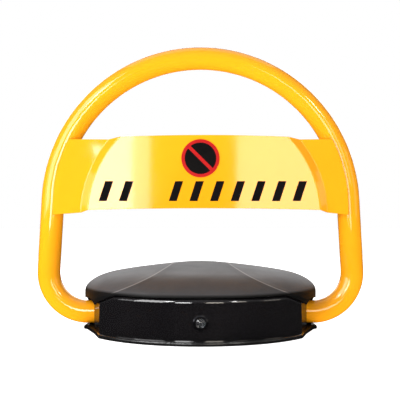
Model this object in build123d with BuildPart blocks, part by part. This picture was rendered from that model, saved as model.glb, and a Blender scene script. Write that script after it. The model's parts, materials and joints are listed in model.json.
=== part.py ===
from build123d import *
from math import acos, atan2, cos, degrees, pi, radians, sin, sqrt, tan
import os

# Folding parking lock. Millimetres. X runs across the lock, -Y is the front (sign face), +Z is up.
# The origin is on the ground under the middle of the arm's pivot axis, which lies along X.

os.makedirs("parts", exist_ok=True)

# ---------------------------------------------------------------- driving dimensions
pivot_z = 23.0
gap = 0.3                  # air between neighbours that only sit beside each other
through = 200.0            # half the length of a cut that goes right across the lock
standing = (Align.CENTER, Align.CENTER, Align.MIN)

# hoop: a bent steel tube
tube_radius = 16.0
tube_bore = 13.5
arch_radius = 210.0
arch_z = 173.0
leg_flare = 3.0            # degrees that each leg leans out
bend_radius = 56.0
tube_end_x = 118.0

# pressed sign panel
sheet = 2.0
ear_radius = 207.0
ear_tilt = 4.5             # degrees that the ears lean back towards the tube
ear_contact = 221.0        # distance from the face's centre at which the ears touch the tube
face_x = 5.0               # the pressed face sits a little right of the hoop's middle
face_z = 156.0
face_radius = 162.0
face_top_half = 117.5      # half the face's length along its upper edge
face_low_half = 161.5
step_width = 10.5
step_depth = 12.0
step_blend = 4.0
ear_bottom_z = 160.0
ear_top_z = 266.0
face_bottom_z = 166.5
face_top_z = 268.3
face_crown = 2.5           # both long edges rise this much in the middle
low_corner_rise = 3.0      # the ears' edges step up or down to the face's corners
top_corner_drop = 0.7

# printed marks, cut from thin film
film = 0.4
roundel_z = 238.3
roundel_radius = 26.5
ring_width = 4.6
slash_width = 4.8
bar_bottom_z = 179.0
bar_top_z = 206.5
bar_width = 11.0
bar_lean = 9.0
bar_groups = ((-131.0, 28.0, 2), (-34.0, 28.6, 7))   # first bar's middle, pitch, count

# base
plate = 5.0
half_width = 162.0
wall = 3.0
rear_squash = 0.8          # the rear half is a flattened circle
plate_half_width = 164.0
plate_front = 168.0
skirt_radius = 160.5
skirt_side_x = (132.5, 148.5)   # the end walls' front and rear
skirt_side_y = -16.0
skirt_rear_y = -9.0
skirt_corner = 11.0
skirt_top = 57.0
shoulder_x = 110.0         # the skirt's top edge starts to fall here
shoulder_round = 24.0
side_top = 38.2            # height of the end walls beside the arm
parting = 0.8              # shadow gap between skirt and cover
arch_gap = ((-81, 41.5), (-72, 47), (-52, 48.5), (-20, 45.5), (0, 43))   # arm opening, y and z
notch_radius = 20.0
front_dome_y = 49.0        # centre of the flatter front dome, behind the middle
dome_profile = ((0, 94.5), (56, 90.3), (113, 82.3), (141, 75), (156, 66), (162, 54))
front_profile = ((0, 96.0), (65, 93.3), (137, 85.2), (182, 76), (202, 65), (209, 54))

# anchors into the ground
anchor_radius = 6.0
anchor_x = 230.0
anchor_y = 120.0

# arm shaft and its bearings
shaft_radius = 9.0
running = 0.05
shaft_half = 148.0
pin_x = 130.0
pin_radius = 3.0
block_x = 104.0
block_width = 14.0
block_half_depth = 20.0
block_foot = 34.0
block_height = 46.0
bush_outer = 12.0
foot_height = 8.0
screw_radius = 2.5
screw_head = 4.5

# drive gear train
module = 1.25
gear_teeth = 24
pinion_teeth = 18
pressure = 20.0
gear_width = 12.0
backlash = 0.12
pinion_z = 26.0
gearbox_radius = 18.5
gearbox_offset = 7.0
centre_distance = module * (gear_teeth + pinion_teeth) / 2
pinion_y = -sqrt(centre_distance**2 - (pinion_z - pivot_z) ** 2)
gearbox_y = pinion_y - gearbox_offset
gearbox_front = -12.0
gearbox_rear = -44.0
motor_rear = -86.0
motor_end = -92.0

# boxes
battery_size = (136.0, 74.0, 40.0)
battery_y = 61.0
control_size = (75.0, 80.0, 34.0)
control_at = (57.5, -85.0)
box_wall = 2.5


def ring(plane, outer, inner, length):
    """A plain ring or tube along the plane's normal."""
    with BuildPart(mode=Mode.PRIVATE) as body:
        with BuildSketch(plane):
            Circle(outer)
            Circle(inner, mode=Mode.SUBTRACT)
        extrude(amount=length)
    return body.part


def disc(plane, radius, length):
    """A plain round bar along the plane's normal."""
    with BuildPart(mode=Mode.PRIVATE) as body:
        with BuildSketch(plane):
            Circle(radius)
        extrude(amount=length)
    return body.part


def across(x, y=0.0, z=pivot_z):
    """A sketch plane that faces +X, with its own X along Y and its own Y along Z."""
    return Plane(origin=(x, y, z), x_dir=(0, 1, 0), z_dir=(1, 0, 0))


def upright(x, y, z):
    """A sketch plane that faces up."""
    return Plane(origin=(x, y, z))


def facing(x, y, z):
    """A sketch plane that faces the front."""
    return Plane(origin=(x, y, z), x_dir=(1, 0, 0), z_dir=(0, -1, 0))


def sided(x, length):
    """Where a piece of that length starts so that its inner end is at x on either side."""
    return x if x > 0 else x - length


# ---------------------------------------------------------------- hoop
bend_z = pivot_z + bend_radius
leg_spread = (bend_z - arch_z) * sin(radians(leg_flare))
bend_x = (arch_radius - bend_radius - leg_spread) / cos(radians(leg_flare))


def polar(centre, radius, angle):
    """A point on a circle of the hoop's own plane."""
    return (centre[0] + radius * cos(radians(angle)), centre[1] + radius * sin(radians(angle)))


def hoop_sweep(radius):
    """A round bar along the hoop's centreline."""
    arch_centre = (0, arch_z)
    left, right = (-bend_x, bend_z), (bend_x, bend_z)
    with BuildPart(mode=Mode.PRIVATE) as body:
        with BuildLine(Plane.XZ) as path:
            Line((-tube_end_x, pivot_z), (-bend_x, pivot_z))
            CenterArc(left, bend_radius, 270, -90 - leg_flare)
            Line(polar(left, bend_radius, 180 - leg_flare), polar(arch_centre, arch_radius, 180 - leg_flare))
            CenterArc(arch_centre, arch_radius, 180 - leg_flare, 2 * leg_flare - 180)
            Line(polar(arch_centre, arch_radius, leg_flare), polar(right, bend_radius, leg_flare))
            CenterArc(right, bend_radius, leg_flare, -90 - leg_flare)
            Line((bend_x, pivot_z), (tube_end_x, pivot_z))
        with BuildSketch(Plane(origin=path.line @ 0, z_dir=path.line % 0)):
            Circle(radius)
        sweep()
    return body.part


hoop_outer = hoop_sweep(tube_radius)
hoop_inner = hoop_sweep(tube_bore)

with BuildPart() as hoop_tube:
    add(hoop_outer)
    add(hoop_inner, mode=Mode.SUBTRACT)
    with Locations((-pin_x, 0, pivot_z), (pin_x, 0, pivot_z)):
        Cylinder(pin_radius, 3 * tube_radius, mode=Mode.SUBTRACT)

# ---------------------------------------------------------------- sign panel
sheet_front = -(tube_radius + sheet)
face_front = sheet_front - step_depth


def ear_front(radius):
    """Front of the leaning ears at that distance from the face's centre."""
    return sheet_front - (ear_contact - radius) * tan(radians(ear_tilt))


def panel_outline():
    """The panel's outline seen from the front, cut right through."""
    ear_middle_z = (ear_bottom_z + ear_top_z) / 2
    ear_top_x = sqrt(ear_radius**2 - (ear_top_z - arch_z) ** 2)
    ear_middle_x = sqrt(ear_radius**2 - (ear_middle_z - arch_z) ** 2)
    ear_low_x = sqrt(ear_radius**2 - (ear_bottom_z - arch_z) ** 2)
    low_step = face_low_half + step_width
    top_step = face_top_half + step_width * 1.5
    with BuildPart(mode=Mode.PRIVATE) as body:
        with BuildSketch(Plane.XZ):
            with BuildLine():
                for side in (-1, 1):
                    ThreePointArc(
                        (side * ear_low_x, ear_bottom_z),
                        (side * ear_middle_x, ear_middle_z),
                        (side * ear_top_x, ear_top_z),
                    )
                    Polyline(
                        (side * ear_low_x, ear_bottom_z),
                        (face_x + side * low_step, ear_bottom_z + low_corner_rise),
                        (face_x + side * face_low_half, face_bottom_z),
                    )
                    Polyline(
                        (side * ear_top_x, ear_top_z),
                        (face_x + side * top_step, ear_top_z - top_corner_drop),
                        (face_x + side * face_top_half, face_top_z),
                    )
                for half, level in ((face_low_half, face_bottom_z), (face_top_half, face_top_z)):
                    ThreePointArc(
                        (face_x - half, level),
                        (face_x, level + face_crown),
                        (face_x + half, level),
                    )
            make_face()
        extrude(amount=through)
    return body.part


face_axis = Axis((face_x, 0, face_z), (0, 1, 0))
section_plane = Plane(origin=(face_x, 0, face_z), x_dir=(1, 0, 0), z_dir=(0, 0, 1))
step_end = face_radius + step_width
ear_reach = ear_radius + 20

with BuildPart() as sign_panel:
    # The sheet is one section turned about the face's own centre: flat face, sloping step, leaning ear.
    with BuildSketch(section_plane):
        with BuildLine():
            front_line = FilletPolyline(
                (0, face_front),
                (face_radius, face_front),
                (step_end, ear_front(step_end)),
                (ear_reach, ear_front(ear_reach)),
                radius=step_blend,
            )
            offset(front_line, amount=sheet, side=Side.LEFT, closed=True)
        make_face()
    revolve(axis=face_axis)
    add(panel_outline(), mode=Mode.INTERSECT)

# ---------------------------------------------------------------- marks on the face
with BuildPart() as roundel_disc:
    with BuildSketch(facing(0, face_front, roundel_z)):
        Circle(roundel_radius)
    extrude(amount=film)

with BuildPart() as roundel_ring:
    with BuildSketch(facing(0, face_front - film, roundel_z)):
        Circle(roundel_radius)
        Circle(roundel_radius - ring_width, mode=Mode.SUBTRACT)
        Rectangle(2 * roundel_radius - ring_width, slash_width, rotation=-45)
    extrude(amount=film)

with BuildPart() as marking_bars:
    # Plain slanted hazard bars in two groups.
    with BuildSketch(facing(0, face_front, bar_bottom_z)):
        height = bar_top_z - bar_bottom_z
        for first, pitch, count in bar_groups:
            for number in range(count):
                middle = first + number * pitch
                with BuildLine():
                    Polyline(
                        (middle - bar_width / 2 - bar_lean / 2, 0),
                        (middle + bar_width / 2 - bar_lean / 2, 0),
                        (middle + bar_width / 2 + bar_lean / 2, height),
                        (middle - bar_width / 2 + bar_lean / 2, height),
                        close=True,
                    )
                make_face()
    extrude(amount=film)

# Short weld beads between the back of each ear and the tube.
bead_radius = 2.6
bead_depth = 15.2          # the beads' middle, in front of the arch plane
bead_path_radius = arch_radius - 9.5
with BuildPart() as weld_beads:
    for start in (2, 12, 22, 156, 166, 176):
        with BuildLine(Plane.XZ.offset(bead_depth)) as bead:
            CenterArc((0, arch_z), bead_path_radius, start - 2, 4)
        with BuildSketch(Plane(origin=bead.line @ 0, z_dir=bead.line % 0)):
            Circle(bead_radius)
        sweep()
    add(hoop_outer, mode=Mode.SUBTRACT)
    add(sign_panel.part, mode=Mode.SUBTRACT)

# ---------------------------------------------------------------- arm shaft
collar_start, collar_length = 53.0, 11.0
collar_pin_x = collar_start + collar_length / 2
collar_radius = 14.0

with BuildPart() as main_shaft:
    add(disc(across(-shaft_half), shaft_radius, 2 * shaft_half))
    with Locations((-pin_x, 0, pivot_z), (pin_x, 0, pivot_z)):
        Cylinder(pin_radius, 3 * tube_radius, mode=Mode.SUBTRACT)
    with Locations((collar_pin_x, 0, pivot_z)):
        Cylinder(screw_radius, 3 * tube_radius, mode=Mode.SUBTRACT)

plug_length = 34.0
pin_hollow = 1.6
arm_plugs = {}
for side, sign in (("left", -1), ("right", 1)):
    with BuildPart() as plug:
        add(ring(across(sided(sign * tube_end_x, plug_length)), tube_bore, shaft_radius, plug_length))
        with Locations((sign * pin_x, 0, pivot_z)):
            Cylinder(pin_radius, 3 * tube_radius, mode=Mode.SUBTRACT)
    arm_plugs[side] = plug

with BuildPart() as arm_pins:
    with Locations((-pin_x, 0, pivot_z), (pin_x, 0, pivot_z)):
        Cylinder(pin_radius, 2 * tube_radius - 1)
        Cylinder(pin_hollow, 2 * tube_radius, mode=Mode.SUBTRACT)

with BuildPart() as spring_collar:
    add(ring(across(collar_start), collar_radius, shaft_radius, collar_length))
    with Locations((collar_pin_x, 0, pivot_z)):
        Cylinder(screw_radius, 3 * collar_radius, mode=Mode.SUBTRACT)

with BuildPart() as collar_pin:
    with Locations((collar_pin_x, 0, pivot_z)):
        Cylinder(screw_radius, 2 * collar_radius - 1)

clip_radius, clip_thick, clip_gap = 12.5, 1.2, 0.8
block_inside = block_x - block_width / 2
with BuildPart() as retaining_rings:
    # One beside the gear and one inside each bearing block.
    for start in (-7.6, block_inside - clip_gap - clip_thick, clip_gap - block_inside):
        add(ring(across(start), clip_radius, shaft_radius, clip_thick))

spring_wire = 1.5
spring_radius = 11.6
spring_start, spring_end = 13.0, 51.2
with BuildPart() as buffer_spring:
    with BuildLine() as coil:
        Helix(
            pitch=4.6,
            height=spring_end - spring_start,
            radius=spring_radius,
            center=(spring_start, 0, pivot_z),
            direction=(1, 0, 0),
        )
    with BuildSketch(Plane(origin=coil.line @ 0, z_dir=coil.line % 0)):
        Circle(spring_wire)
    sweep(is_frenet=True)

carrier_start, carrier_length, carrier_radius = 72.0, 8.0, 16.0
magnet_radius = 2.5
magnet_reach = 12.7
magnet = disc(across(carrier_start, 0, pivot_z + magnet_reach), magnet_radius, carrier_length)
with BuildPart() as magnet_carrier:
    add(ring(across(carrier_start), carrier_radius, shaft_radius, carrier_length))
    add(magnet, mode=Mode.SUBTRACT)

with BuildPart() as limit_magnet:
    add(magnet)

# ---------------------------------------------------------------- gears


def involute_gear(teeth, width, bore, plane, turn):
    """A spur gear on the given plane with one tooth centred at the angle turn."""
    pitch_radius = module * teeth / 2
    base = pitch_radius * cos(radians(pressure))
    root = pitch_radius - 1.25 * module
    tip = pitch_radius + module
    half_tooth = (pi * module / 2 - backlash) / 2 / pitch_radius

    def flank(radius):
        """Half the tooth's angle at that radius."""
        swing = acos(base / radius) if radius > base else 0.0
        at_pitch = tan(radians(pressure)) - radians(pressure)
        return half_tooth + at_pitch - (tan(swing) - swing)

    radii = [root - 0.2] + [max(base, root) + (tip - max(base, root)) * step / 4 for step in range(5)]
    upper = [(r * cos(flank(r)), r * sin(flank(r))) for r in radii]
    lower = [(x, -y) for x, y in reversed(upper)]
    with BuildPart(mode=Mode.PRIVATE) as gear:
        with BuildSketch(plane) as profile:
            Circle(root)
            with BuildSketch(mode=Mode.PRIVATE) as tooth:
                with BuildLine():
                    Polyline(*lower, *upper, close=True)
                make_face()
            for number in range(teeth):
                add(tooth.sketch, rotation=turn + 360 * number / teeth)
            Circle(bore, mode=Mode.SUBTRACT)
        extrude(amount=width)
    return gear.part


mesh_angle = degrees(atan2(pinion_z - pivot_z, pinion_y))
gear_bore = 11.0
output_radius = 3.0

with BuildPart() as drive_gear:
    add(involute_gear(gear_teeth, gear_width, gear_bore, across(-gear_width / 2), mesh_angle))
    add(ring(across(gear_width / 2), 13, gear_bore, 4))

with BuildPart() as gear_bush:
    add(ring(across(-gear_width / 2), gear_bore, shaft_radius + running, gear_width + 4))

with BuildPart() as pinion:
    pinion_plane = across(-gear_width / 2, pinion_y, pinion_z)
    pinion_turn = mesh_angle + 180 + 180 / pinion_teeth
    add(involute_gear(pinion_teeth, gear_width, output_radius, pinion_plane, pinion_turn))

bearing_depth = 14.0
output_length = bearing_depth - gearbox_front + gear_width / 2 + 1
with BuildPart() as output_shaft:
    add(disc(across(gearbox_front - bearing_depth, pinion_y, pinion_z), output_radius, output_length))

# ---------------------------------------------------------------- gearmotor
bearing_outer = 6.0
bearing_seat = gearbox_front - bearing_depth - 2
motor_radius, motor_cap_radius = 17.5, 12.0
with BuildPart() as gearbox_housing:
    add(disc(across(gearbox_rear, gearbox_y, pinion_z), gearbox_radius, gearbox_front - gearbox_rear))
    fillet(gearbox_housing.edges().filter_by(GeomType.CIRCLE).sort_by(Axis.X)[-1], 1.5)
    add(disc(across(bearing_seat, pinion_y, pinion_z), bearing_outer, 2 * bearing_depth), mode=Mode.SUBTRACT)

with BuildPart() as output_bearing:
    bearing_plane = across(bearing_seat + 1, pinion_y, pinion_z)
    add(ring(bearing_plane, bearing_outer, output_radius + running, bearing_depth))

with BuildPart() as motor_can:
    add(disc(across(motor_rear, gearbox_y, pinion_z), motor_radius, gearbox_rear - motor_rear))
    fillet(motor_can.edges().filter_by(GeomType.CIRCLE).sort_by(Axis.X)[0], 2)
    add(disc(across(motor_end, gearbox_y, pinion_z), motor_cap_radius, motor_rear - motor_end))

bracket_thick, bracket_height = 3.0, 42.0
bracket_x = gearbox_front + running
bracket_screw = (bracket_x - 12, gearbox_y - 33)
motor_screw_y, motor_screw_rise = gearbox_y - 14, 9.0
with BuildPart() as motor_bracket:
    with BuildSketch(across(bracket_x, gearbox_y, plate)):
        with Locations((0, bracket_height / 2)):
            Rectangle(bracket_height, bracket_height)
        with Locations((gearbox_offset, pinion_z - plate)):
            Circle(14.5, mode=Mode.SUBTRACT)
    extrude(amount=bracket_thick)
    with BuildSketch(upright(*bracket_screw, plate)):
        Rectangle(30, 24)
        Circle(screw_radius, mode=Mode.SUBTRACT)
    extrude(amount=bracket_thick)

with BuildPart() as motor_screws:
    for z in (pinion_z - motor_screw_rise, pinion_z + motor_screw_rise):
        add(disc(across(bracket_x + bracket_thick, motor_screw_y, z), 3, 2))
    add(disc(upright(*bracket_screw, plate + bracket_thick), screw_head, 3))
    add(disc(upright(*bracket_screw, plate), screw_radius, bracket_thick))

# ---------------------------------------------------------------- bearing blocks
seal_outer, seal_width = 15.0, 6.0
bearing_blocks, bearing_bushes, shaft_seals = {}, {}, {}
for side, sign in (("left", -1), ("right", 1)):
    with BuildPart() as block:
        with BuildSketch(across(sign * block_x - block_width / 2, 0, plate)):
            with Locations((0, foot_height / 2)):
                Rectangle(2 * block_foot, foot_height)
            with Locations((0, (block_height - plate) / 2)):
                Rectangle(2 * block_half_depth, block_height - plate)
            with Locations((0, pivot_z - plate)):
                Circle(bush_outer, mode=Mode.SUBTRACT)
        extrude(amount=block_width)
        top_edges = block.edges().filter_by(Axis.X).group_by(Axis.Z)[-1]
        fillet(top_edges, 10)
        with Locations((sign * block_x, block_foot - 6, plate), (sign * block_x, 6 - block_foot, plate)):
            Cylinder(screw_radius, 4 * foot_height, mode=Mode.SUBTRACT)
    bearing_blocks[side] = block
    with BuildPart() as bush:
        add(ring(across(sign * block_x - block_width / 2), bush_outer, shaft_radius + running, block_width))
    bearing_bushes[side] = bush
    with BuildPart() as seal:
        start = sided(sign * (block_x + block_width / 2), seal_width)
        add(ring(across(start), seal_outer, shaft_radius + running, seal_width))
    shaft_seals[side] = seal

with BuildPart() as block_screws:
    for x in (-block_x, block_x):
        for y in (6 - block_foot, block_foot - 6):
            add(disc(upright(x, y, plate), screw_radius, foot_height))
            add(disc(upright(x, y, plate + foot_height), screw_head, 4))

# ---------------------------------------------------------------- base plate


def plate_outline():
    """The plate's plan: round front, a waist beside the skirt's ends, lugs under the arm, oval rear."""
    waist_y = -100.0
    waist_x = plate_half_width * sqrt(1 - (waist_y / plate_front) ** 2)
    sweep_angle = degrees(acos(waist_x / plate_half_width))
    waist = ((waist_x, waist_y), (138, -78), (142, -62), (158, -16))
    side_points = (*waist, (plate_half_width, -8), (plate_half_width, 0))
    rear_depth = plate_half_width * rear_squash
    with BuildSketch() as outline:
        with BuildLine():
            EllipticalCenterArc(
                (0, 0), plate_half_width, plate_front, 180 + sweep_angle, arc_size=180 - 2 * sweep_angle
            )
            Polyline(*side_points)
            EllipticalCenterArc((0, 0), plate_half_width, rear_depth, 0, arc_size=180)
            Polyline(*[(-x, y) for x, y in reversed(side_points)])
        make_face()
    return outline.sketch


skirt_boss_at = (74.0, -134.5)
tapping_radius = 2.1       # thread of the skirt's screws, and the depth of their countersunk heads
countersink = 4.2
with BuildPart() as base_plate:
    add(plate_outline())
    extrude(amount=plate)
    fillet(base_plate.edges().group_by(Axis.Z)[-1], 2.2)
    with GridLocations(anchor_x, anchor_y, 2, 2):
        Cylinder(anchor_radius, 4 * plate, mode=Mode.SUBTRACT)
    with Locations(*[(sign * skirt_boss_at[0], skirt_boss_at[1], 0) for sign in (-1, 1)]):
        Cylinder(tapping_radius, 4 * plate, mode=Mode.SUBTRACT)
        Cone(countersink, tapping_radius, tapping_radius, align=standing, mode=Mode.SUBTRACT)

# ---------------------------------------------------------------- front skirt


def skirt_plan(inset):
    """The skirt's plan, closed across the rear so that it can be hollowed."""
    front = skirt_radius - inset
    corner_x = skirt_side_x[0] - inset
    corner_y = -sqrt(front**2 - corner_x**2)
    rear_x = skirt_side_x[1] - inset
    end_y = skirt_rear_y + 10
    points = ((corner_x, corner_y), (rear_x, skirt_side_y), (rear_x, end_y))
    with BuildSketch() as plan:
        with BuildLine():
            ThreePointArc((-corner_x, corner_y), (0, -front), (corner_x, corner_y))
            Polyline(*points)
            Line((rear_x, end_y), (-rear_x, end_y))
            Polyline(*[(-x, y) for x, y in reversed(points)])
        make_face()
        fillet(plan.vertices().group_by(Axis.Y)[0], max(skirt_corner - inset, 1))
    return plan.sketch


def shoulders(drop, floor):
    """A front view, level in the middle and falling to the arm at both ends, down to the floor."""
    level = skirt_top - drop
    side = side_top - drop
    end_x = skirt_side_x[1]
    far_x = 1.2 * end_x
    with BuildSketch() as view:
        with BuildLine():
            FilletPolyline(
                (-end_x, side),
                (-shoulder_x, level),
                (shoulder_x, level),
                (end_x, side),
                radius=shoulder_round,
            )
            Polyline(
                (end_x, side),
                (far_x, side),
                (far_x, floor),
                (-far_x, floor),
                (-far_x, side),
                (-end_x, side),
            )
        make_face()
    return view.sketch


def skirt_front_outline(drop):
    """What the skirt keeps, seen from the front."""
    with BuildPart(mode=Mode.PRIVATE) as body:
        with BuildSketch(Plane.XZ):
            add(shoulders(drop, plate))
        extrude(amount=through, both=True)
    return body.part


lens_z = 27.5
lens_bore = 7.5
skirt_roll = 6.0           # radius of the skirt's rounded top edge
roof_opening = 16.0
with BuildPart() as skirt_hollow:
    add(skirt_plan(wall))
    extrude(amount=80)
    add(skirt_front_outline(wall), mode=Mode.INTERSECT)

with BuildPart() as front_skirt:
    add(skirt_plan(0))
    extrude(amount=80)
    add(skirt_front_outline(0), mode=Mode.INTERSECT)
    front_edges = front_skirt.edges().filter_by(lambda edge: edge.center().Z > side_top + 2)
    fillet(front_edges.filter_by(lambda edge: edge.center().Y < shoulder_x * -0.6), skirt_roll)
    add(skirt_hollow.part, mode=Mode.SUBTRACT)
    # The roof is cut back to a lip, and the rear is left open.
    with BuildSketch(Plane.XY.offset(side_top - wall - 1)):
        add(skirt_plan(roof_opening))
    extrude(amount=40, mode=Mode.SUBTRACT)
    with Locations((0, skirt_rear_y + 20, 0)):
        Box(2 * through, 40, through, mode=Mode.SUBTRACT)
    # Arm slots through both ends, lens hole and two screw bosses.
    with BuildSketch(across(-through)):
        Circle(tube_radius + 1.5)
        with Locations((0, -tube_radius)):
            Rectangle(2 * tube_radius + 3, 2 * tube_radius)
    extrude(amount=2 * through, mode=Mode.SUBTRACT)
    with BuildSketch(facing(0, -skirt_radius + 10, lens_z)):
        Circle(lens_bore)
    extrude(amount=20, mode=Mode.SUBTRACT)
    with Locations(*[(sign * skirt_boss_at[0], skirt_boss_at[1], plate) for sign in (-1, 1)]):
        Cylinder(5, 22, align=standing)
        Cylinder(tapping_radius, 14, align=standing, mode=Mode.SUBTRACT)

with BuildPart() as skirt_screws:
    with Locations(*[(sign * skirt_boss_at[0], skirt_boss_at[1], 0) for sign in (-1, 1)]):
        Cone(countersink, tapping_radius, tapping_radius, align=standing)
        Cylinder(tapping_radius, plate + 13, align=standing)

# ---------------------------------------------------------------- cover


def dome(profile, centre_y, inset, arc=360):
    """A round dome with an upright rim; inset moves its skin inwards."""
    rim_radius = profile[-1][0]
    shrink = (rim_radius - inset) / rim_radius
    points = [(radius * shrink, height - inset) for radius, height in profile]
    with BuildPart(mode=Mode.PRIVATE) as body:
        with BuildSketch(Plane(origin=(0, centre_y, 0), x_dir=(1, 0, 0), z_dir=(0, -1, 0))):
            with BuildLine():
                Spline(*points, tangents=((1, 0), (0, -1)))
                Polyline(points[-1], (points[-1][0], plate), (0, plate), points[0])
            make_face()
        revolve(axis=Axis((0, centre_y, 0), (0, 0, 1)), revolution_arc=arc)
    return body.part


def cover_body(inset):
    """The cover as a block: a round dome, cut flatter in front and squashed behind."""
    with BuildPart(mode=Mode.PRIVATE) as front_half:
        add(dome(dome_profile, 0, inset))
        add(dome(front_profile, front_dome_y, inset), mode=Mode.INTERSECT)
        split(bisect_by=Plane.XZ, keep=Keep.TOP)
    rear_half = scale(dome(dome_profile, 0, inset, arc=180), by=(1, rear_squash, 1))
    return front_half.part + rear_half


# Rear fixing: three tabs on the plate and three screws through the cover's wall.
screw_z = 16.0
tab_angles = (50, 90, 130)


def rear_plane(angle, inset):
    """A sketch plane on the rear wall, facing outwards."""
    normal = (cos(radians(angle)) * rear_squash, sin(radians(angle)), 0)
    x = half_width * cos(radians(angle))
    y = half_width * rear_squash * sin(radians(angle))
    length = sqrt(normal[0] ** 2 + normal[1] ** 2)
    origin = (x - inset * normal[0] / length, y - inset * normal[1] / length, screw_z)
    return Plane(origin=origin, x_dir=(-normal[1], normal[0], 0), z_dir=normal)


cover_block = cover_body(0)
cover_void = cover_body(wall)

with BuildPart() as top_cover:
    add(cover_block)
    add(cover_void, mode=Mode.SUBTRACT)
    # Window for the skirt, with the shadow gap between them.
    with BuildSketch(Plane.XZ.offset(-arch_gap[0][0])):
        add(shoulders(-parting, -plate))
    extrude(amount=through, mode=Mode.SUBTRACT)
    # Open arches over the arm, close round the tube behind it.
    with BuildSketch(across(-through, 0, 0)):
        with BuildLine():
            Spline(*arch_gap)
            Polyline(arch_gap[-1], (arch_gap[-1][0], -plate), (arch_gap[0][0], -plate), arch_gap[0])
        make_face()
        with Locations((0, pivot_z)):
            Circle(notch_radius)
        Rectangle(2 * notch_radius, pivot_z, align=(Align.CENTER, Align.MIN))
    extrude(amount=2 * through, mode=Mode.SUBTRACT)
    for angle in tab_angles:
        add(disc(rear_plane(angle, wall + 2), 2, wall + 6), mode=Mode.SUBTRACT)

seal_thick = 0.7
with BuildPart() as cover_gasket:
    with BuildSketch(Plane.XY.offset(skirt_top + 0.05)):
        Circle(skirt_radius - skirt_roll - 1)
        Circle(skirt_radius - skirt_roll - 6, mode=Mode.SUBTRACT)
        with Locations((0, through - 110)):
            Rectangle(2 * through, 2 * through, mode=Mode.SUBTRACT)
    extrude(amount=seal_thick)

with BuildPart() as cover_tabs:
    for angle in tab_angles:
        with BuildSketch(rear_plane(angle, wall + gap + 8)):
            Rectangle(16, 2 * (screw_z - plate))
            Circle(2, mode=Mode.SUBTRACT)
        extrude(amount=8)

with BuildPart() as cover_screws:
    for angle in tab_angles:
        add(disc(rear_plane(angle, wall + gap + 8), 2, wall + gap + 8))
        add(disc(rear_plane(angle, 0), screw_head, 2.4))

# ---------------------------------------------------------------- indicator in the skirt
front_y = -skirt_radius
lens_radius, lens_crown = 6.15, 4.2
bezel_inner, bezel_outer, bezel_stem = 6.2, 9.5, 12.0
with BuildPart() as lens_bezel:
    with BuildSketch(facing(0, front_y, lens_z)):
        Circle(bezel_outer)
        Circle(bezel_inner, mode=Mode.SUBTRACT)
    extrude(amount=2.6)
    front_circles = lens_bezel.edges().filter_by(GeomType.CIRCLE).group_by(Axis.Y)[0]
    chamfer(front_circles.sort_by(SortBy.LENGTH)[-1], 1.2)
    with BuildSketch(facing(0, front_y + bezel_stem, lens_z)):
        Circle(lens_bore - 0.1)
        Circle(bezel_inner, mode=Mode.SUBTRACT)
    extrude(amount=bezel_stem)

with BuildPart() as indicator_lens:
    with BuildSketch(Plane(origin=(0, front_y, lens_z), x_dir=(1, 0, 0), z_dir=(0, 0, 1))):
        with BuildLine():
            Polyline((0, -lens_crown), (0, 5.5), (lens_radius, 5.5), (lens_radius, -1.6))
            TangentArc((0, -lens_crown), (lens_radius, -1.6), tangent=(1, 0))
        make_face()
    revolve(axis=Axis((0, front_y, lens_z), (0, 1, 0)))

with BuildPart() as bezel_nut:
    with BuildSketch(facing(0, front_y + wall + 5, lens_z)):
        RegularPolygon(11, 6)
        Circle(lens_bore - 0.1, mode=Mode.SUBTRACT)
    extrude(amount=4)

led_radius = 2.5
with BuildPart() as indicator_led:
    add(disc(facing(0, front_y + bezel_stem, lens_z), led_radius, 3))
    with Locations((0, front_y + bezel_stem - 3, lens_z)):
        Sphere(led_radius)

with BuildPart() as led_board:
    with BuildSketch(facing(0, front_y + 13.7, lens_z)):
        Rectangle(24, 20)
    extrude(amount=1.6)

# ---------------------------------------------------------------- battery
lid, lid_seal = 3.0, 1.2
size_x, size_y, size_z = battery_size
with BuildPart() as battery_box:
    with Locations((0, battery_y, plate)):
        Box(size_x, size_y, size_z, align=standing)
    fillet(battery_box.edges().filter_by(Axis.Z), 4)
    with Locations((0, battery_y, plate + box_wall)):
        hollow = (size_x - 2 * box_wall, size_y - 2 * box_wall, size_z)
        Box(*hollow, align=standing, mode=Mode.SUBTRACT)

with BuildPart() as battery_lid:
    with Locations((0, battery_y, plate + size_z + lid_seal)):
        Box(size_x, size_y, lid, align=standing)
    fillet(battery_lid.edges().filter_by(Axis.Z), 4)

with BuildPart() as battery_gasket:
    with Locations((0, battery_y, plate + size_z)):
        Box(size_x - 1, size_y - 1, lid_seal, align=standing)
        Box(size_x - 5, size_y - 5, lid_seal, align=standing, mode=Mode.SUBTRACT)

cell_radius, cell_length = 16.3, 58.5
contact_thick = 0.8
cell_z = plate + box_wall + gap + cell_radius
with BuildPart() as battery_cells:
    for x in (-cell_length - 1.5, 1.5):
        for y in (battery_y - cell_radius - 0.5, battery_y + cell_radius + 0.5):
            add(disc(across(x, y, cell_z), cell_radius, cell_length))
            add(disc(across(x + cell_length, y, cell_z), 4.5, 1.5))

with BuildPart() as battery_contacts:
    for side in (-1, 1):
        with Locations((side * (size_x / 2 - box_wall - 1), battery_y, cell_z)):
            Box(contact_thick, 50, 14)

# ---------------------------------------------------------------- control box
size_x, size_y, size_z = control_size
control_x, control_y = control_at
control_top = plate + size_z
board_z = plate + 12
board = 1.6
with BuildPart() as control_box:
    with Locations((control_x, control_y, plate)):
        Box(size_x, size_y, size_z, align=standing)
    fillet(control_box.edges().filter_by(Axis.Z), 4)
    with Locations((control_x, control_y, plate + box_wall)):
        hollow = (size_x - 2 * box_wall, size_y - 2 * box_wall, size_z)
        Box(*hollow, align=standing, mode=Mode.SUBTRACT)
        with GridLocations(size_x - 18, size_y - 18, 2, 2):
            Cylinder(3, board_z - plate - box_wall, align=standing)

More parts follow.
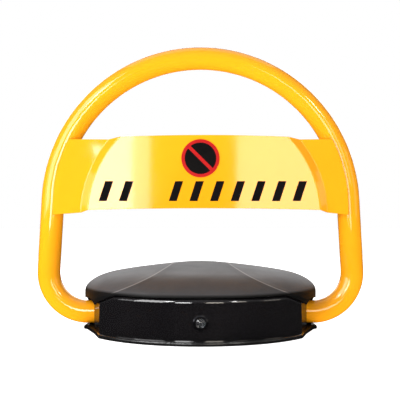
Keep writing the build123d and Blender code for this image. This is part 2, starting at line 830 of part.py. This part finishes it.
button_x, button_y = control_x + 20, control_y - 22
button_radius, button_travel = 4.0, 0.8
with BuildPart() as control_lid:
    with Locations((control_x, control_y, control_top)):
        Box(size_x, size_y, lid, align=standing)
    fillet(control_lid.edges().filter_by(Axis.Z), 4)
    with Locations((button_x, button_y, control_top)):
        Cylinder(button_radius + 0.3, 10, mode=Mode.SUBTRACT)

with BuildPart() as pair_button:
    with Locations((button_x, button_y, control_top - 3)):
        Cylinder(button_radius, 9, align=standing)
    fillet(pair_button.edges().group_by(Axis.Z)[-1], 0.8)

with BuildPart() as control_board:
    with Locations((control_x, control_y, board_z)):
        Box(size_x - 8, size_y - 8, board, align=standing)

switch_top = control_top - 3 - button_travel - 0.1
with BuildPart() as pair_switch:
    with Locations((button_x, button_y, board_z + board)):
        Box(7, 7, switch_top - board_z - board, align=standing)

with BuildPart() as radio_module:
    with Locations((control_x - 18, control_y + 18, board_z + board)):
        Box(18, 14, 3, align=standing)

with BuildPart() as antenna:
    antenna_at = (control_x + 20, control_y + 24, control_top + lid)
    add(disc(upright(*antenna_at), 4, 5))
    add(disc(upright(*antenna_at), 2.5, 26))

buzzer_at = (-66.0, -98.0)
with BuildPart() as buzzer:
    add(disc(upright(*buzzer_at, plate), 15, 12))
    fillet(buzzer.edges().filter_by(GeomType.CIRCLE).group_by(Axis.Z)[-1], 1.5)
    add(disc(upright(*buzzer_at, plate + 9), 2.5, 10), mode=Mode.SUBTRACT)

# ---------------------------------------------------------------- limit sensors beside the magnet
sensor_x = carrier_start + carrier_length + 4.0
with BuildPart() as sensor_board:
    with BuildSketch(across(sensor_x, 0, plate)):
        with Locations((0, 20)):
            Rectangle(38, 40)
        with Locations((0, pivot_z - plate)):
            Circle(shaft_radius + 1.5, mode=Mode.SUBTRACT)
    extrude(amount=1.6)

with BuildPart() as limit_sensors:
    for y, z in ((0, pivot_z + magnet_reach), (magnet_reach, pivot_z)):
        with Locations((sensor_x - 0.8, y, z)):
            Box(1.6, 4, 3)

# ---------------------------------------------------------------- leads
lead_radius = 2.0


def lead(points, bends):
    """A round lead along straight runs joined by tangent arcs."""
    with BuildPart(mode=Mode.PRIVATE) as body:
        with BuildLine() as route:
            FilletPolyline(*points, radius=bends)
        with BuildSketch(Plane(origin=route.line @ 0, z_dir=route.line % 0)):
            Circle(lead_radius)
        sweep()
        length = sum(edge.length for edge in route.line.edges())
    print("lead", round(length, 1), "mm long, bend radius", bends)
    return body


low_z = plate + lead_radius + 0.1
box_side = control_x - size_x / 2
lead_z = pinion_z - 8
lead_turn_x = motor_end - 15
motor_lead = lead(
    (
        (motor_end, gearbox_y, pinion_z),
        (lead_turn_x, gearbox_y, pinion_z),
        (lead_turn_x, gearbox_y - 32, lead_z),
        (-60, -72, lead_z),
        (0, control_y, lead_z),
        (box_side, control_y, lead_z),
    ),
    10,
)
battery_side = battery_size[0] / 2
under_shaft_x = (carrier_start + carrier_length + block_x) / 2 - 1.5
battery_lead = lead(
    (
        (battery_side, 40, low_z + 4),
        (battery_side + 13, 40, low_z + 4),
        (under_shaft_x, 20, low_z),
        (under_shaft_x, control_y + size_y / 2, low_z),
    ),
    8,
)
led_y = control_y - 25
led_lead = lead(((6, front_y + 13.7, lens_z), (6, led_y, lens_z), (box_side, led_y, lens_z)), 8)

with BuildPart() as internal_leads:
    add(motor_lead.part)
    add(battery_lead.part)
    add(led_lead.part)

# ---------------------------------------------------------------- writing
pieces = {
    "hoop_tube": hoop_tube, "sign_panel": sign_panel, "weld_beads": weld_beads,
    "roundel_disc": roundel_disc, "roundel_ring": roundel_ring, "marking_bars": marking_bars,
    "main_shaft": main_shaft, "arm_plug_left": arm_plugs["left"], "arm_plug_right": arm_plugs["right"],
    "arm_pins": arm_pins, "spring_collar": spring_collar, "collar_pin": collar_pin,
    "retaining_rings": retaining_rings, "buffer_spring": buffer_spring,
    "magnet_carrier": magnet_carrier, "limit_magnet": limit_magnet,
    "drive_gear": drive_gear, "gear_bush": gear_bush, "pinion": pinion, "output_shaft": output_shaft,
    "gearbox_housing": gearbox_housing, "output_bearing": output_bearing, "motor_can": motor_can,
    "motor_bracket": motor_bracket, "motor_screws": motor_screws,
    "bearing_block_left": bearing_blocks["left"], "bearing_block_right": bearing_blocks["right"],
    "bearing_bush_left": bearing_bushes["left"], "bearing_bush_right": bearing_bushes["right"],
    "shaft_seal_left": shaft_seals["left"], "shaft_seal_right": shaft_seals["right"],
    "block_screws": block_screws, "base_plate": base_plate, "front_skirt": front_skirt,
    "skirt_screws": skirt_screws, "top_cover": top_cover, "cover_gasket": cover_gasket,
    "cover_tabs": cover_tabs, "cover_screws": cover_screws, "lens_bezel": lens_bezel,
    "indicator_lens": indicator_lens, "bezel_nut": bezel_nut, "indicator_led": indicator_led,
    "led_board": led_board, "battery_box": battery_box, "battery_lid": battery_lid,
    "battery_gasket": battery_gasket, "battery_cells": battery_cells, "battery_contacts": battery_contacts,
    "control_box": control_box, "control_lid": control_lid, "pair_button": pair_button,
    "control_board": control_board, "pair_switch": pair_switch, "radio_module": radio_module,
    "sensor_board": sensor_board, "limit_sensors": limit_sensors, "buzzer": buzzer,
    "internal_leads": internal_leads, "antenna": antenna,
}
for name, piece in pieces.items():
    piece.part.label = name
    export_step(piece.part, f"parts/{name}.step")
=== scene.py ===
"""A folding parking lock in a plain studio: finishes, floor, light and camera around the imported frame.

In metres: X runs across the lock, -Y is its front and +Z is up, with the origin on the ground. Every CAD
node keeps its own mesh and place, and gets a procedural finish and even shading here.
"""

import json
import math

import bpy
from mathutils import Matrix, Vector

WHITE = (1, 1, 1)

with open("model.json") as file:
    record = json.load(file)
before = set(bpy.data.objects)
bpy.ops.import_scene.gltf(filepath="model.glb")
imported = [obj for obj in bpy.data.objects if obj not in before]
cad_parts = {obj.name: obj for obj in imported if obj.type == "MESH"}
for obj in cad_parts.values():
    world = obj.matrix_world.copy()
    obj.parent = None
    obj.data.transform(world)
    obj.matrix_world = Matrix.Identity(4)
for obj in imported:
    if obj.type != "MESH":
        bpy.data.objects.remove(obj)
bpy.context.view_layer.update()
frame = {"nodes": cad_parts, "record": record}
scene = bpy.context.scene
nodes = frame["nodes"]


# ---------------------------------------------------------------- camera

LENS = 72  # mm
SENSOR_WIDTH = 36  # mm
NEAREST_SEEN = 0.02
CAMERA_PLACE = (0, -1.138, 0.157)
CAMERA_PITCH = math.radians(91.21)
CAMERA_SHIFT = -0.0012


def add_camera():
    """The photograph's view: straight at the front, from just above the base."""
    data = bpy.data.cameras.new("camera")
    data.lens = LENS
    data.sensor_width = SENSOR_WIDTH
    data.shift_x = CAMERA_SHIFT
    data.clip_start = NEAREST_SEEN
    camera = bpy.data.objects.new("camera", data)
    camera.location = CAMERA_PLACE
    camera.rotation_euler = (CAMERA_PITCH, 0, 0)
    scene.collection.objects.link(camera)
    scene.camera = camera


# ---------------------------------------------------------------- node helpers

BEVEL_SAMPLES = 4
MIX_FACTOR, MIX_A, MIX_B = 0, 6, 7  # the Mix node's inputs for colours
MIX_RESULT = 2


def add(tree, kind, settings=None, **sockets):
    """A new node: settings are its own properties, sockets are values or outputs to link."""
    made = tree.nodes.new(kind)
    for name, value in (settings or {}).items():
        setattr(made, name, value)
    for name, value in sockets.items():
        put(tree, made, name.replace("_", " "), value)
    return made


def put(tree, node, socket, value):
    """Links an output to an input, or sets the input to a value; the input goes by name or number."""
    if isinstance(value, bpy.types.NodeSocket):
        tree.links.new(value, node.inputs[socket])
    else:
        node.inputs[socket].default_value = value


def shader_of(material):
    """The one shader node of a finish."""
    return material.node_tree.nodes["Principled BSDF"]


def place(tree, stretch=(1, 1, 1)):
    """Object coordinates in metres, stretched along the axes."""
    coords = add(tree, "ShaderNodeTexCoord").outputs["Object"]
    return add(tree, "ShaderNodeMapping", Vector=coords, Scale=stretch).outputs["Vector"]


def axes(tree):
    """The object coordinates' X, Y and Z as outputs."""
    coords = add(tree, "ShaderNodeTexCoord").outputs["Object"]
    return add(tree, "ShaderNodeSeparateXYZ", Vector=coords).outputs


def noise(tree, where, scale, detail=3, roughness=0.5, distortion=0):
    """Fractal noise between 0 and 1; the scale counts features per metre."""
    made = add(
        tree,
        "ShaderNodeTexNoise",
        Vector=where,
        Scale=scale,
        Detail=detail,
        Roughness=roughness,
        Distortion=distortion,
    )
    return made.outputs["Fac"]


def span(tree, value, low, high, to_low=0, to_high=1):
    """Carries low..high over to to_low..to_high, and holds the ends beyond."""
    made = add(
        tree,
        "ShaderNodeMapRange",
        Value=value,
        From_Min=low,
        From_Max=high,
        To_Min=to_low,
        To_Max=to_high,
    )
    return made.outputs["Result"]


def maths(tree, operation, a, b=0):
    """One operation on two values or outputs; those on a single value leave b unused."""
    made = add(tree, "ShaderNodeMath", {"operation": operation})
    put(tree, made, 0, a)
    put(tree, made, 1, b)
    return made.outputs[0]


def ramp(tree, factor, stops):
    """Colours at places between 0 and 1, with straight blends from one to the next."""
    made = add(tree, "ShaderNodeValToRGB", Fac=factor)
    bands = made.color_ramp.elements
    while len(bands) < len(stops):
        bands.new(0.5)
    for band, (at, colour) in zip(bands, stops):
        band.position = at
        band.color = (*colour, 1)
    return made.outputs["Color"]


def blend_colours(tree, factor, a, b):
    """Colour a where the factor is 0 and b where it is 1; each is a colour or an output."""
    made = add(tree, "ShaderNodeMix", {"data_type": "RGBA"})
    put(tree, made, MIX_FACTOR, factor)
    for socket, colour in ((MIX_A, a), (MIX_B, b)):
        linked = isinstance(colour, bpy.types.NodeSocket)
        put(tree, made, socket, colour if linked else (*colour, 1))
    return made.outputs[MIX_RESULT]


# ---------------------------------------------------------------- one finish

TONE_PLACES = (0.3, 0.7)  # of the drifting noise, where each tone is pure
PATCH_RATIO = 3  # gloss patches are this much finer than the tones
PATCH_LIMITS = (0.25, 0.75)
EDGE_TURN = (0.02, 0.16)  # 1 minus the cosine, from where wear starts to where it is full
SKY_START = 0.35  # the normal's Z where dust starts to settle
CHIP_SCALE = 160
CHIP_FADE = 0.12
MOTE_SCALE = 60
MOTE_LIMITS = (0.42, 0.75)
CLEAR_SHARE = 0.95
ACRYLIC_IOR = 1.49


def edge_mask(tree, radius):
    """1 on edges that are sharper than the radius, 0 elsewhere."""
    rounded = add(tree, "ShaderNodeBevel", {"samples": BEVEL_SAMPLES}, Radius=radius).outputs[0]
    plain = add(tree, "ShaderNodeNewGeometry").outputs["Normal"]
    likeness = add(tree, "ShaderNodeVectorMath", {"operation": "DOT_PRODUCT"})
    put(tree, likeness, 0, rounded)
    put(tree, likeness, 1, plain)
    turned = maths(tree, "SUBTRACT", 1, likeness.outputs["Value"])
    return span(tree, turned, *EDGE_TURN)


def up_mask(tree):
    """1 where the surface faces the sky, 0 where it stands upright."""
    normal = add(tree, "ShaderNodeNewGeometry").outputs["Normal"]
    parts = add(tree, "ShaderNodeSeparateXYZ", Vector=normal)
    return span(tree, parts.outputs["Z"], SKY_START, 1)


def worn_edges(tree, colour, bare, radius, limit):
    """The bare colour in chips along the edges."""
    pattern = noise(tree, place(tree), CHIP_SCALE, detail=5, roughness=0.65)
    chips = span(tree, pattern, limit, limit + CHIP_FADE)
    worn = maths(tree, "MULTIPLY", edge_mask(tree, radius), chips)
    return blend_colours(tree, worn, colour, bare)


def settled_dust(tree, colour, dust, amount):
    """Motes of dust on what faces up."""
    pattern = noise(tree, place(tree), MOTE_SCALE, detail=6, roughness=0.7)
    motes = span(tree, pattern, *MOTE_LIMITS)
    laid = maths(tree, "MULTIPLY", maths(tree, "MULTIPLY", up_mask(tree), motes), amount)
    return blend_colours(tree, laid, colour, dust)


def finish_of(
    name,
    tones,
    tone_scale=20,
    rough=(0.3, 0.4),
    grain=900,
    grain_depth=0.00002,
    grain_strength=0.15,
    stretch=(1, 1, 1),
    metallic=0,
    specular=0.5,
    coat=0,
    coat_rough=0.1,
    wear=None,
    wear_radius=0.0008,
    wear_limit=0.55,
    dust=None,
    dust_amount=0,
    edge_radius=0,
    clear=False,
):
    """A procedural finish: drifting colour, uneven gloss, fine relief, worn edges and settled dust."""
    material = bpy.data.materials.new(name)
    material.use_nodes = True
    tree = material.node_tree
    shader = shader_of(material)
    where = place(tree, stretch)
    drift = noise(tree, where, tone_scale, detail=4, roughness=0.55)
    colour = ramp(tree, drift, list(zip(TONE_PLACES, tones)))
    patches = noise(tree, where, tone_scale * PATCH_RATIO, roughness=0.6, distortion=0.4)
    gloss = span(tree, patches, *PATCH_LIMITS, *rough)
    if wear:
        colour = worn_edges(tree, colour, wear, wear_radius, wear_limit)
    if dust:
        colour = settled_dust(tree, colour, dust, dust_amount)
    relief = noise(tree, where, grain, roughness=0.6)
    bump = add(tree, "ShaderNodeBump", Height=relief, Strength=grain_strength, Distance=grain_depth)
    if edge_radius:
        rounded = add(tree, "ShaderNodeBevel", {"samples": BEVEL_SAMPLES}, Radius=edge_radius)
        put(tree, bump, "Normal", rounded.outputs[0])
    put(tree, shader, "Base Color", colour)
    put(tree, shader, "Roughness", gloss)
    put(tree, shader, "Normal", bump.outputs[0])
    put(tree, shader, "Metallic", metallic)
    put(tree, shader, "Specular IOR Level", specular)
    put(tree, shader, "Coat Weight", coat)
    put(tree, shader, "Coat Roughness", coat_rough)
    if clear:
        put(tree, shader, "Transmission Weight", CLEAR_SHARE)
        put(tree, shader, "IOR", ACRYLIC_IOR)
    return material


# ---------------------------------------------------------------- the finishes

STEEL = (0.52, 0.52, 0.53)

# Each material slot of the record, with what finish_of needs for it.
RECIPES = {
    "yellow_paint": dict(
        tones=((0.88, 0.335, 0.007), (0.92, 0.368, 0.009)),
        tone_scale=7,
        rough=(0.05, 0.08),
        grain=420,
        grain_depth=0.00004,
        grain_strength=0.10,
        coat=0.25,
        coat_rough=0.06,
        wear=(0.55, 0.22, 0.02),
        wear_radius=0.0006,
        dust=(0.62, 0.50, 0.30),
        dust_amount=0.06,
        edge_radius=0.0007,
    ),
    "black_film": dict(
        tones=((0.003, 0.003, 0.003), (0.006, 0.005, 0.005)),
        tone_scale=30,
        rough=(0.40, 0.50),
        grain=700,
        specular=0.02,
    ),
    "red_film": dict(
        tones=((0.36, 0.007, 0.007), (0.42, 0.011, 0.010)),
        tone_scale=30,
        rough=(0.40, 0.50),
        grain=700,
        specular=0.06,
    ),
    "machined_steel": dict(
        tones=((0.42, 0.42, 0.43), (0.60, 0.60, 0.60)),
        tone_scale=40,
        rough=(0.20, 0.38),
        grain=1500,
        grain_strength=0.3,
        stretch=(3, 0.4, 0.4),
        metallic=1,
        wear=(0.74, 0.74, 0.74),
    ),
    "spring_steel": dict(
        tones=((0.09, 0.09, 0.10), (0.19, 0.18, 0.18)),
        tone_scale=60,
        rough=(0.25, 0.45),
        grain=1200,
        metallic=1,
        wear=(0.5, 0.5, 0.5),
    ),
    "white_plastic": dict(
        tones=((0.68, 0.68, 0.64), (0.78, 0.78, 0.74)),
        tone_scale=50,
        rough=(0.45, 0.6),
        grain=1100,
    ),
    "magnet": dict(
        tones=((0.62, 0.60, 0.57), (0.72, 0.70, 0.67)),
        tone_scale=80,
        rough=(0.10, 0.25),
        metallic=1,
    ),
    "bronze": dict(
        tones=((0.42, 0.24, 0.09), (0.56, 0.35, 0.15)),
        tone_scale=70,
        rough=(0.30, 0.48),
        grain=2200,
        grain_strength=0.4,
        metallic=1,
    ),
    "cast_alloy": dict(
        tones=((0.40, 0.41, 0.42), (0.54, 0.55, 0.56)),
        tone_scale=35,
        rough=(0.42, 0.62),
        grain=900,
        grain_strength=0.5,
        grain_depth=0.00008,
        metallic=1,
        wear=(0.7, 0.7, 0.7),
        edge_radius=0.0008,
    ),
    "zinc_steel": dict(
        tones=((0.50, 0.53, 0.56), (0.62, 0.62, 0.60)),
        tone_scale=55,
        rough=(0.18, 0.36),
        grain=800,
        metallic=1,
        wear=(0.40, 0.38, 0.35),
    ),
    "rubber": dict(
        tones=((0.012, 0.012, 0.012), (0.024, 0.023, 0.022)),
        tone_scale=60,
        rough=(0.6, 0.8),
        grain=1600,
        grain_strength=0.4,
        specular=0.3,
    ),
    "black_paint": dict(
        tones=((0.003, 0.003, 0.003), (0.006, 0.006, 0.006)),
        tone_scale=25,
        rough=(0.16, 0.26),
        grain=1100,
        grain_depth=0.00003,
        grain_strength=0.2,
        specular=0.8,
        wear=STEEL,
        wear_limit=0.6,
        edge_radius=0.0005,
    ),
    "gloss_black": dict(
        tones=((0.0035, 0.0032, 0.0038), (0.0055, 0.0050, 0.0055)),
        tone_scale=12,
        rough=(0.06, 0.10),
        grain=70,
        grain_depth=0.000002,
        grain_strength=0.02,
        specular=0.9,
        coat=0.5,
        coat_rough=0.05,
        wear=(0.05, 0.05, 0.05),
        dust=(0.16, 0.15, 0.14),
        dust_amount=0.05,
    ),
    "satin_black": dict(
        tones=((0.058, 0.056, 0.058), (0.070, 0.067, 0.069)),
        tone_scale=9,
        rough=(0.48, 0.56),
        grain=1500,
        grain_depth=0.00003,
        grain_strength=0.25,
        specular=0.24,
        dust=(0.20, 0.19, 0.18),
        dust_amount=0.10,
    ),
    "black_screw": dict(
        tones=((0.016, 0.016, 0.017), (0.040, 0.038, 0.036)),
        tone_scale=90,
        rough=(0.25, 0.45),
        metallic=0.7,
        wear=STEEL,
    ),
    "chrome": dict(
        tones=((0.07, 0.07, 0.08), (0.12, 0.12, 0.13)),
        tone_scale=120,
        rough=(0.12, 0.20),
        grain=600,
        grain_depth=0.00001,
        metallic=1,
    ),
    "clear_lens": dict(
        tones=((0.30, 0.31, 0.33), (0.30, 0.31, 0.33)),
        rough=(0.01, 0.03),
        grain=60,
        grain_depth=0.000005,
        clear=True,
    ),
    "green_board": dict(
        tones=((0.008, 0.075, 0.022), (0.018, 0.140, 0.045)),
        tone_scale=240,
        rough=(0.25, 0.4),
        grain=1800,
        coat=0.3,
    ),
    "box_plastic": dict(
        tones=((0.060, 0.064, 0.070), (0.088, 0.092, 0.100)),
        tone_scale=40,
        rough=(0.42, 0.58),
        grain=1400,
        grain_strength=0.35,
        wear=(0.2, 0.2, 0.21),
        edge_radius=0.0006,
    ),
    "cell_wrap": dict(
        tones=((0.006, 0.016, 0.045), (0.012, 0.030, 0.075)),
        tone_scale=50,
        rough=(0.12, 0.26),
        grain=500,
        coat=0.4,
    ),
    "red_plastic": dict(
        tones=((0.42, 0.010, 0.008), (0.54, 0.020, 0.014)),
        tone_scale=80,
        rough=(0.25, 0.38),
    ),
    "black_plastic": dict(
        tones=((0.010, 0.010, 0.010), (0.020, 0.020, 0.020)),
        tone_scale=80,
        rough=(0.4, 0.55),
        grain=1500,
    ),
    "lead_jacket": dict(
        tones=((0.011, 0.011, 0.013), (0.028, 0.027, 0.029)),
        tone_scale=90,
        rough=(0.45, 0.6),
        grain=1200,
    ),
}

FINISHES = {name: finish_of(name, **recipe) for name, recipe in RECIPES.items()}


# ---------------------------------------------------------------- the cover's creases, with painted highlights and painted shade

# A crease lies where |x| = steady + rising * fall + curving * fall squared, with the fall taken down from
# CREASE_TOP. Widths are measured from the crease to either side.
CREASE_TOP = 0.0925
CREASE_CURVE = (0.0385, 1.95, 9.5)
LINE_WIDTH = 0.0016
# Painted highlight: a lighter line along each crease, standing in for the light that the folded edge
# catches.
CREASE_HIGHLIGHT_SHARE = 0.5
CREASE_HIGHLIGHT_COLOUR = (0.30, 0.28, 0.27)
RIDGE_WIDTH = 0.010
RIDGE_HEIGHT = 0.0006
# Painted shade: the facet between the two creases is darkened, standing in for its turn away from the
# light.
FACET_SHADE_SHARE = 0.35
FACET_SHADE_COLOUR = (0.008, 0.007, 0.007)
# Painted shade: the cover below RIM_TOP is darkened, standing in for the shadow on its rim and side walls;
# its specular level drops there too.
RIM_TOP = 0.062
RIM_FADE = 0.003
RIM_SHADE_COLOUR = (0.004, 0.004, 0.004)
RIM_SPECULAR = 0.10


def crease_offset(tree, spot):
    """How far a point lies outside its nearer crease; it is below 0 between the two."""
    steady, rising, curving = CREASE_CURVE
    fall = maths(tree, "SUBTRACT", CREASE_TOP, spot["Z"])
    slope = maths(tree, "ADD", maths(tree, "MULTIPLY", fall, curving), rising)
    width = maths(tree, "ADD", maths(tree, "MULTIPLY", fall, slope), steady)
    return maths(tree, "SUBTRACT", maths(tree, "ABSOLUTE", spot["X"]), width)


def crease_cover_with_painted_light(material):
    """Low ridges over the dome with painted highlight lines on them, painted shade on the facets between
    them, and painted shade on the rim below.
    """
    tree = material.node_tree
    shader = shader_of(material)
    bump = shader.inputs["Normal"].links[0].from_node
    colour = shader.inputs["Base Color"].links[0].from_socket
    shine = shader.inputs["Specular IOR Level"].default_value
    spot = axes(tree)
    outside = crease_offset(tree, spot)
    away = maths(tree, "ABSOLUTE", outside)
    # A lighter line along each crease: painted highlight.
    crease_highlight = span(tree, away, LINE_WIDTH, LINE_WIDTH / 2)
    ridge = span(tree, away, RIDGE_WIDTH, 0)
    # The facet between the creases darkened: painted shade.
    facet_shade = span(tree, outside, LINE_WIDTH, -LINE_WIDTH)
    # The cover below RIM_TOP darkened: painted shade.
    rim_shade = span(tree, spot["Z"], RIM_TOP, RIM_TOP - RIM_FADE)
    colour = blend_colours(tree, maths(tree, "MULTIPLY", facet_shade, FACET_SHADE_SHARE), colour, FACET_SHADE_COLOUR)
    colour = blend_colours(tree, maths(tree, "MULTIPLY", crease_highlight, CREASE_HIGHLIGHT_SHARE), colour, CREASE_HIGHLIGHT_COLOUR)
    colour = blend_colours(tree, rim_shade, colour, RIM_SHADE_COLOUR)
    fold = add(tree, "ShaderNodeBump", Height=ridge, Normal=bump.outputs[0], Distance=RIDGE_HEIGHT)
    put(tree, shader, "Base Color", colour)
    put(tree, shader, "Normal", fold.outputs[0])
    put(tree, shader, "Specular IOR Level", span(tree, rim_shade, 0, 1, shine, RIM_SPECULAR))


# ---------------------------------------------------------------- duller ends beside the arm

SKIRT_ENDS = (0.1310, 0.1330)
LUG_ENDS = (0.1300, 0.1360)
END_SPECULAR = 0.005


def dull_the_ends(material, start, finish):
    """Takes the shine off where |x| goes from start to finish: the skirt's end walls, the plate's lugs."""
    tree = material.node_tree
    shader = shader_of(material)
    side = maths(tree, "ABSOLUTE", axes(tree)["X"])
    for socket, dull in (("Specular IOR Level", END_SPECULAR), ("Coat Weight", 0)):
        shine = shader.inputs[socket].default_value
        put(tree, shader, socket, span(tree, side, start, finish, shine, dull))


# Paints highlights along the cover's creases and shade on its front facet and rim, over low bump ridges.
crease_cover_with_painted_light(FINISHES["satin_black"])
dull_the_ends(FINISHES["gloss_black"], *SKIRT_ENDS)
dull_the_ends(FINISHES["black_paint"], *LUG_ENDS)


# ---------------------------------------------------------------- the CAD nodes

SHARP_ANGLE = math.radians(22)
WELD_GAP = 0.00002


def smoothing_group(angle):
    """Geometry nodes that shade faces smooth and keep edges above the angle sharp."""
    group = bpy.data.node_groups.new("smooth_by_angle", "GeometryNodeTree")
    for way in ("INPUT", "OUTPUT"):
        group.interface.new_socket("Geometry", in_out=way, socket_type="NodeSocketGeometry")
    entry = add(group, "NodeGroupInput")
    leave = add(group, "NodeGroupOutput")
    faces = add(group, "GeometryNodeSetShadeSmooth", {"domain": "FACE"}, Shade_Smooth=True)
    edges = add(group, "GeometryNodeSetShadeSmooth", {"domain": "EDGE"}, Shade_Smooth=False)
    found = add(group, "GeometryNodeInputMeshEdgeAngle")
    sharp = add(group, "FunctionNodeCompare", {"data_type": "FLOAT", "operation": "GREATER_THAN"})
    put(group, sharp, 0, found.outputs["Unsigned Angle"])
    put(group, sharp, 1, angle)
    put(group, faces, "Geometry", entry.outputs[0])
    put(group, edges, "Geometry", faces.outputs[0])
    put(group, edges, "Selection", sharp.outputs[0])
    put(group, leave, 0, edges.outputs[0])
    return group


SMOOTH = smoothing_group(SHARP_ANGLE)


def dress(obj, slot):
    """Gives a CAD node its finish and even shading; its vertices stay where they are."""
    obj.data.materials.clear()
    obj.data.materials.append(FINISHES[slot])
    weld = obj.modifiers.new("weld", "WELD")
    weld.merge_threshold = WELD_GAP
    smooth = obj.modifiers.new("smooth", "NODES")
    smooth.node_group = SMOOTH
    even = obj.modifiers.new("even", "WEIGHTED_NORMAL")
    even.keep_sharp = True


# ---------------------------------------------------------------- floor

FLOOR_HALF = 9
FLOOR_DROP = 0.0004  # keeps the floor's face apart from the base plate's
FLOOR_GLOW = 0.95  # brings the floor up to the photograph's white


def add_floor():
    """A pale glowing floor, kept out of reflections so that the black pieces stay black."""
    mesh = bpy.data.meshes.new("floor")
    near, far = -FLOOR_HALF, FLOOR_HALF
    corners = [(near, near, 0), (far, near, 0), (far, far, 0), (near, far, 0)]
    mesh.from_pydata(corners, [], [(0, 1, 2, 3)])
    floor = bpy.data.objects.new("floor", mesh)
    scene.collection.objects.link(floor)
    material = finish_of(
        "pale_floor",
        tones=((0.86, 0.86, 0.86), (0.89, 0.89, 0.89)),
        tone_scale=2,
        rough=(0.7, 0.8),
        grain=300,
        specular=0.1,
    )
    shader = shader_of(material)
    shader.inputs["Emission Color"].default_value = (*WHITE, 1)
    shader.inputs["Emission Strength"].default_value = FLOOR_GLOW
    mesh.materials.append(material)
    floor.location.z = -FLOOR_DROP
    floor.visible_glossy = False


# ---------------------------------------------------------------- light

FRONT = CAMERA_PLACE[1]
PANEL_RISE = 0.29  # the height of the flat panels' middle, level with the sign
PANEL_TALL = 0.34
WARM = (1, 0.92, 0.80)
ARM_MIDDLE = (0, 0, 0.2)
COVER_TOP = (0, 0, 0.1)
BASE_MIDDLE = (0, 0, 0.05)
WORLD_STOPS = [(0.46, (0.02, 0.02, 0.02)), (0.56, (0.07, 0.07, 0.07)), (0.9, (0.22, 0.22, 0.23))]


def softbox(name, centre, target, width, height, radiance, colour=WHITE):
    """An evenly lit rectangle that faces its target; a change of size leaves its brightness as it is."""
    data = bpy.data.lights.new(name, "AREA")
    data.shape = "RECTANGLE"
    data.size = width
    data.size_y = height
    data.energy = radiance * math.pi * width * height
    data.color = colour
    lamp = bpy.data.objects.new(name, data)
    lamp.location = centre
    lamp.rotation_mode = "QUATERNION"
    aim = Vector(target) - Vector(centre)
    lamp.rotation_quaternion = aim.to_track_quat("-Z", "Y")
    lamp.visible_camera = False
    scene.collection.objects.link(lamp)


def front_panel(name, x, width, radiance, colour=WHITE):
    """A softbox in the camera's plane, square to the lock, which the sign's flat face mirrors."""
    softbox(name, (x, FRONT, PANEL_RISE), (x, 0, PANEL_RISE), width, PANEL_TALL, radiance, colour)


def add_world():
    """A dim sky that brightens upward, and white where the camera looks past the floor."""
    world = bpy.data.worlds.new("studio")
    world.use_nodes = True
    tree = world.node_tree
    direction = add(tree, "ShaderNodeTexCoord").outputs["Generated"]
    height = add(tree, "ShaderNodeSeparateXYZ", Vector=direction).outputs["Z"]
    fill = ramp(tree, span(tree, height, -1, 1), WORLD_STOPS)
    seen = add(tree, "ShaderNodeLightPath").outputs["Is Camera Ray"]
    put(tree, tree.nodes["Background"], "Color", blend_colours(tree, seen, fill, WHITE))
    scene.world = world


def add_lights():
    """Mirrored panels, strips and sides that fill the shadows, two small keys, overhead and back.

    The softboxes' last numbers are their width, height and radiance.
    """
    front_panel("left_panel", -0.325, 0.27, 12)
    front_panel("left_feather", -0.165, 0.05, 5)
    softbox("left_strip", (-1.04, -0.92, 0.74), BASE_MIDDLE, 0.85, 1.15, 4.8)
    softbox("left_side", (-1.30, -0.45, 0.45), ARM_MIDDLE, 0.60, 0.5, 1.5)
    front_panel("right_panel", 0.26, 0.32, 6, WARM)
    softbox("right_strip", (0.82, -1.10, 0.60), COVER_TOP, 0.34, 0.60, 2.6, WARM)
    softbox("right_side", (1.30, -0.45, 0.45), ARM_MIDDLE, 0.50, 0.5, 1.0, WARM)
    softbox("key", (-0.62, -1.05, 0.86), ARM_MIDDLE, 0.20, 0.20, 16)
    softbox("right_key", (0.70, -1.05, 0.80), ARM_MIDDLE, 0.13, 0.13, 24)
    softbox("overhead", (0, 0.25, 1.5), COVER_TOP, 1.4, 1.1, 0.7)
    softbox("back", (0, 1.8, 0.8), ARM_MIDDLE, 2.4, 0.9, 2.4)


# ---------------------------------------------------------------- build

add_camera()
for part in frame["record"]["subparts"]:
    dress(nodes[part["node"]], part["material_slot"])
add_floor()
add_world()
add_lights()
scene.view_settings.view_transform = "Standard"
scene.view_settings.look = "None"
